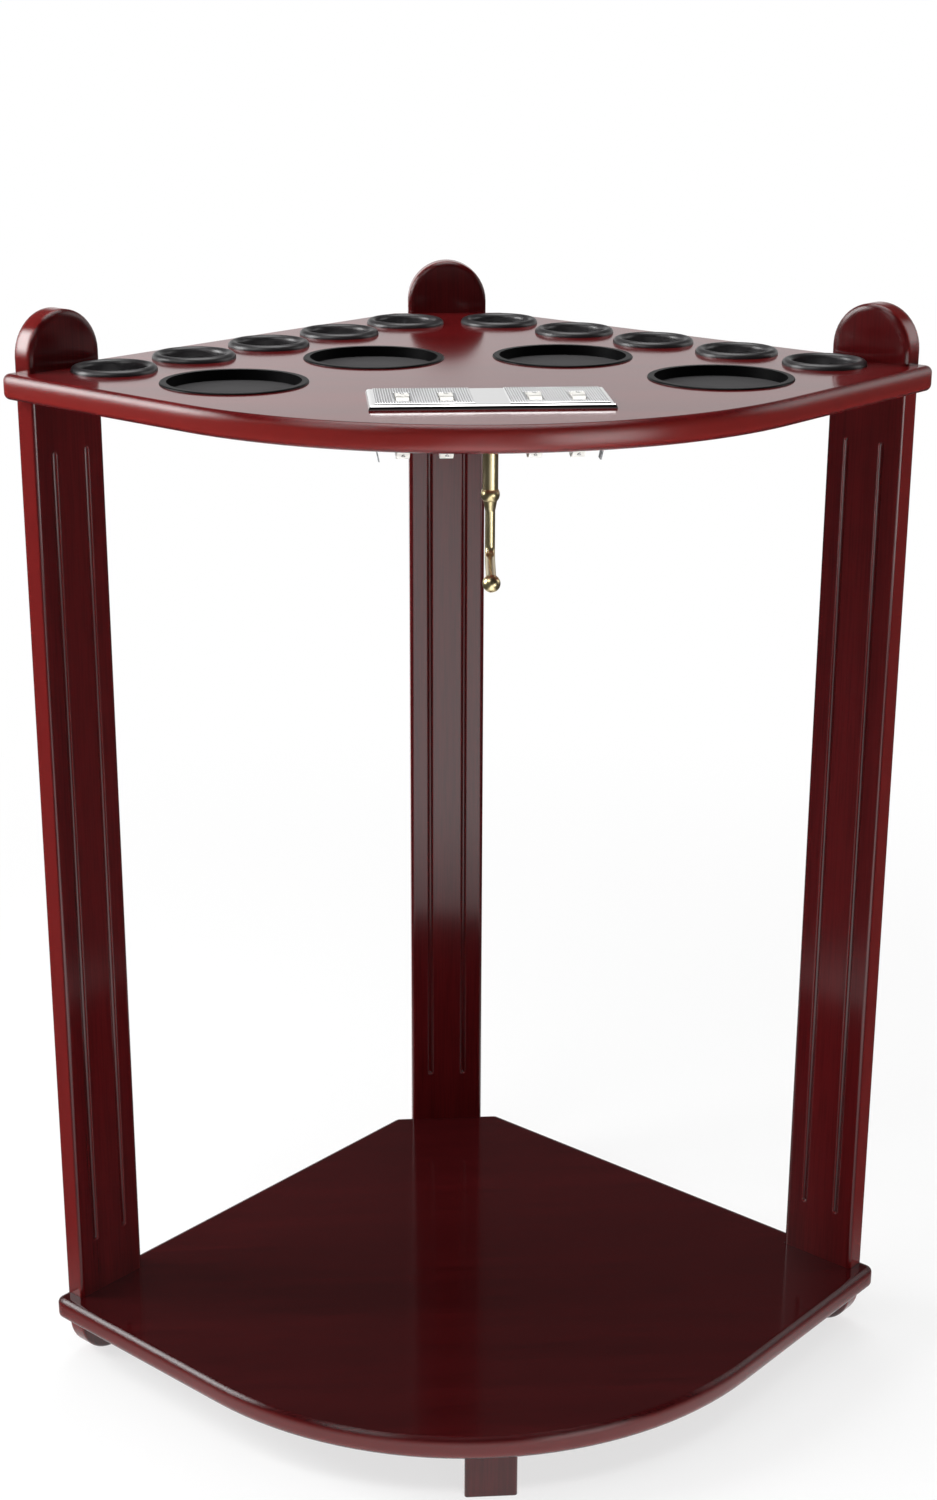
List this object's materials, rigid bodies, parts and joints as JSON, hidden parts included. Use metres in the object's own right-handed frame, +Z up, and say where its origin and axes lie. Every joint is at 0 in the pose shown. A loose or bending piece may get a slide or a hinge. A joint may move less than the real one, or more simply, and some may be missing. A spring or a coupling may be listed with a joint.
{
  "type": "wall cue rack",
  "caption": "Floor-standing corner rack for billiard cues: quarter-round shelves on round-ended boards, with cue collars, dishes, number-wheel score counter and ball-rack hook.",
  "frame": {"origin": "on the floor under the middle of the rack's outline, seen from above", "axes": "+Z up, -Y to the open front, +Y to the room corner, X across between the two walls"},
  "size_m": [0.5404, 0.4219, 0.685],
  "materials": {
    "mahogany": "high-gloss red-brown lacquer",
    "ring_black": "glossy black",
    "dish_black": "black with a matt floor",
    "plate_chrome": "mirror chrome",
    "plated_steel": "zinc-plated steel",
    "wheel_white": "moulded white",
    "hook_brass": "polished pale brass"
  },
  "bodies": {
    "rack": {"top_shelf": "mahogany", "bottom_shelf": "mahogany", "left_post": "mahogany", "right_post": "mahogany", "rear_post": "mahogany", "front_foot": "mahogany", "cue_ring_1": "ring_black", "cue_ring_2": "ring_black", "cue_ring_3": "ring_black", "cue_ring_4": "ring_black", "cue_ring_5": "ring_black", "cue_ring_6": "ring_black", "cue_ring_7": "ring_black", "cue_ring_8": "ring_black", "cue_ring_9": "ring_black", "cue_ring_10": "ring_black", "dish_1": "dish_black", "dish_2": "dish_black", "dish_3": "dish_black", "dish_4": "dish_black", "counter_plate": "plate_chrome", "left_counter_frame": "plated_steel", "right_counter_frame": "plated_steel", "left_axle": "plated_steel", "right_axle": "plated_steel", "axle_retainers": "plated_steel", "friction_washers": "plated_steel", "left_clip": "plated_steel", "right_clip": "plated_steel", "push_nuts": "plated_steel", "top_shelf_screws": "plated_steel", "bottom_shelf_screws": "plated_steel", "front_foot_screws": "plated_steel", "ball_rack_hook": "hook_brass"},
    "score_wheel_1": {"score_wheel_1": "wheel_white"},
    "score_wheel_2": {"score_wheel_2": "wheel_white"},
    "score_wheel_3": {"score_wheel_3": "wheel_white"},
    "score_wheel_4": {"score_wheel_4": "wheel_white"}
  },
  "joints": [
    {"name": "wheel_1_turn", "type": "hinge", "parent": "rack", "child": "score_wheel_1", "pos_m": [-0.04725, -0.14298, 0.6387], "axis": [1, 0, 0], "continuous": true},
    {"name": "wheel_2_turn", "type": "hinge", "parent": "rack", "child": "score_wheel_2", "pos_m": [-0.02375, -0.14298, 0.6387], "axis": [1, 0, 0], "continuous": true},
    {"name": "wheel_3_turn", "type": "hinge", "parent": "rack", "child": "score_wheel_3", "pos_m": [0.02375, -0.14298, 0.6387], "axis": [1, 0, 0], "continuous": true},
    {"name": "wheel_4_turn", "type": "hinge", "parent": "rack", "child": "score_wheel_4", "pos_m": [0.04725, -0.14298, 0.6387], "axis": [1, 0, 0], "continuous": true}
  ]
}
